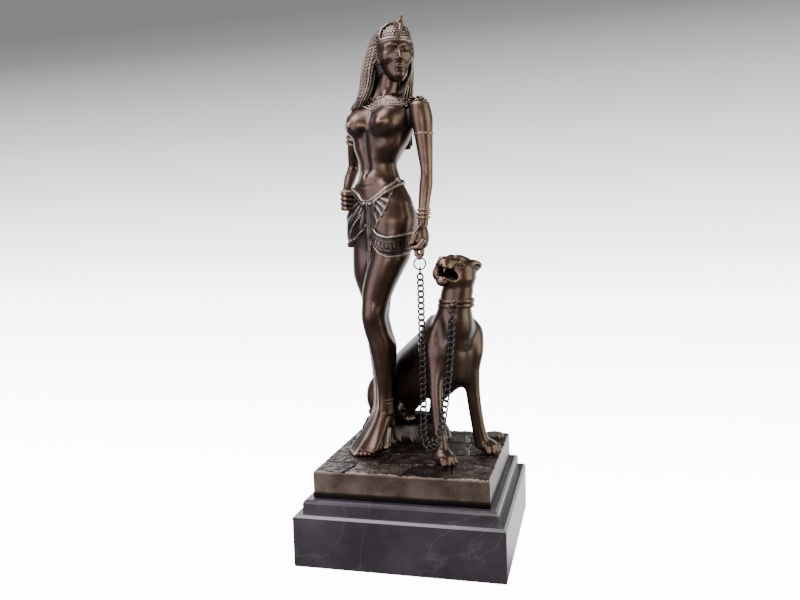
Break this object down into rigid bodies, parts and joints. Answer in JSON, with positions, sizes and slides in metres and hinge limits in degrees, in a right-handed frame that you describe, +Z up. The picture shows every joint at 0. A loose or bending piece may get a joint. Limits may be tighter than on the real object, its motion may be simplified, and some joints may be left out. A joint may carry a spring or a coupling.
{
  "type": "bronze figure group of a queen with a panther",
  "caption": "Bronze group of a standing ancient queen in a plaited headdress who holds a seated panther on a chain, on a paved slab and a stepped black marble plinth.",
  "frame": {"origin": "middle of the plinth's underside", "axes": "+Z up, front of the statue towards -Y, +X to the right as seen from the front"},
  "size_m": [0.16, 0.1554, 0.4142],
  "materials": {
    "marble": "polished black marble with faint grey veins",
    "patinated_bronze": "cast bronze with a dark brown patina, rubbed to golden brown on the high places",
    "dark_steel": "blackened steel wire, rubbed bright on the high places"
  },
  "bodies": {
    "root": {"plinth": "marble", "paved_slab": "patinated_bronze", "queen_figure": "patinated_bronze", "panther": "patinated_bronze", "hand_ring": "dark_steel", "collar_ring": "dark_steel", "leash_chain": "dark_steel"}
  },
  "joints": []
}
